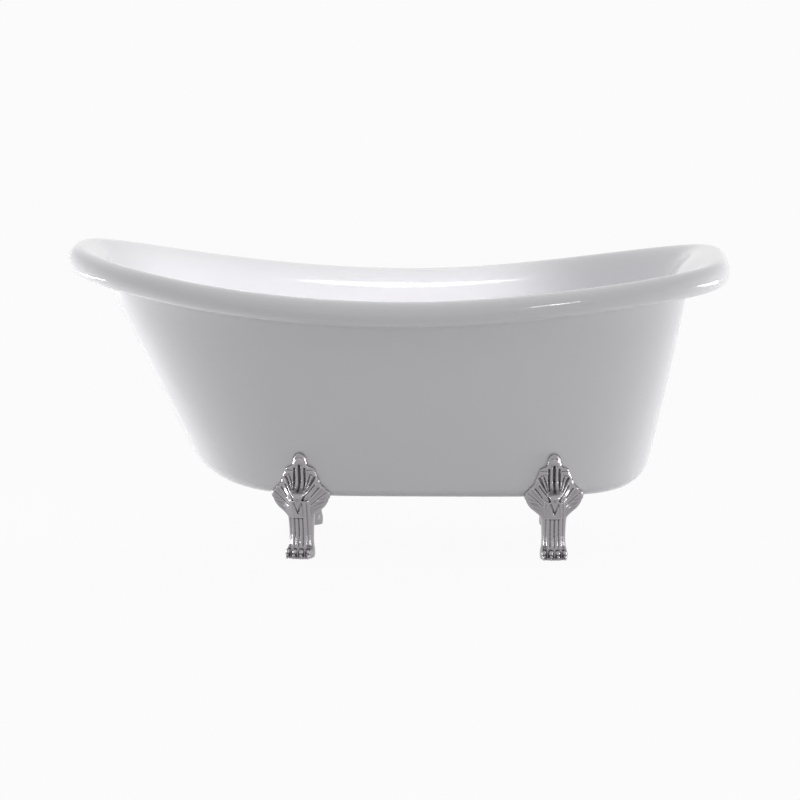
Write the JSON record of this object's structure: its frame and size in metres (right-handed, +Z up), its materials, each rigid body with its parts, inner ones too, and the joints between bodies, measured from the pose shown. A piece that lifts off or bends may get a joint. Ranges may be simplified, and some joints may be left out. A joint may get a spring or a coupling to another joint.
{
  "type": "clawfoot bathtub",
  "caption": "Freestanding double-walled slipper bath with a rolled rim and cast leaf-and-paw feet, sprung plug waste, overflow and levelling screws.",
  "frame": {"origin": "on the ground, at the centre of the overall box", "axes": "+X along the bath to the waste end, +Y to the rear side, +Z up; XZ is the plane of symmetry"},
  "size_m": [1.7, 0.74, 0.776],
  "materials": {
    "acrylic": "gloss white",
    "foot_metal": "polished pewter-grey plating",
    "sealant": "white silicone",
    "rubber": "black, matte",
    "steel": "zinc plated",
    "pad_plastic": "black moulding",
    "board": "bare board",
    "drain_plastic": "white moulding",
    "chrome_trim": "bright chrome"
  },
  "bodies": {
    "bath": {"basin": "acrylic", "outer_shell": "acrylic", "rim_seal": "sealant", "base_board": "board", "board_screws": "steel", "long_rail_front": "steel", "long_rail_rear": "steel", "foot_rail_front_left": "steel", "foot_rail_front_right": "steel", "foot_rail_rear_left": "steel", "foot_rail_rear_right": "steel", "foot_front_left": "foot_metal", "foot_front_right": "foot_metal", "foot_rear_left": "foot_metal", "foot_rear_right": "foot_metal", "foot_gaskets": "rubber", "foot_bolts": "steel", "foot_washers": "steel", "rail_nuts": "steel", "waste_flange": "chrome_trim", "flange_seal": "rubber", "waste_gasket": "rubber", "waste_body": "drain_plastic", "tail_seal": "rubber", "tail_nut": "drain_plastic", "tail_pipe": "drain_plastic", "plug_spring": "steel", "overflow_plate": "chrome_trim", "overflow_seal": "rubber", "overflow_gasket": "rubber", "overflow_elbow": "drain_plastic", "overflow_screw": "chrome_trim", "overflow_pipe": "drain_plastic", "overflow_nut": "drain_plastic", "overflow_nut_seal": "rubber"},
    "plug": {"plug_cap": "chrome_trim", "plug_seal": "rubber", "plug_stem": "chrome_trim", "plug_clip": "steel"},
    "leveller_front_left": {"leveller_stud_front_left": "steel", "leveller_pad_front_left": "pad_plastic"},
    "leveller_front_right": {"leveller_stud_front_right": "steel", "leveller_pad_front_right": "pad_plastic"},
    "leveller_rear_left": {"leveller_stud_rear_left": "steel", "leveller_pad_rear_left": "pad_plastic"},
    "leveller_rear_right": {"leveller_stud_rear_right": "steel", "leveller_pad_rear_right": "pad_plastic"}
  },
  "joints": [
    {"name": "plug_slide", "type": "slide", "parent": "bath", "child": "plug", "axis": [0, 0, 1], "range_m": [-0.007, 0], "stiffness_N_per_m": 150, "springref_m": 0.02, "deforming": ["plug_spring"]},
    {"name": "leveller_slide_front_left", "type": "slide", "parent": "bath", "child": "leveller_front_left", "axis": [0, 0, -1], "range_m": [0, 0.012]},
    {"name": "leveller_slide_front_right", "type": "slide", "parent": "bath", "child": "leveller_front_right", "axis": [0, 0, -1], "range_m": [0, 0.012]},
    {"name": "leveller_slide_rear_left", "type": "slide", "parent": "bath", "child": "leveller_rear_left", "axis": [0, 0, -1], "range_m": [0, 0.012]},
    {"name": "leveller_slide_rear_right", "type": "slide", "parent": "bath", "child": "leveller_rear_right", "axis": [0, 0, -1], "range_m": [0, 0.012]}
  ]
}
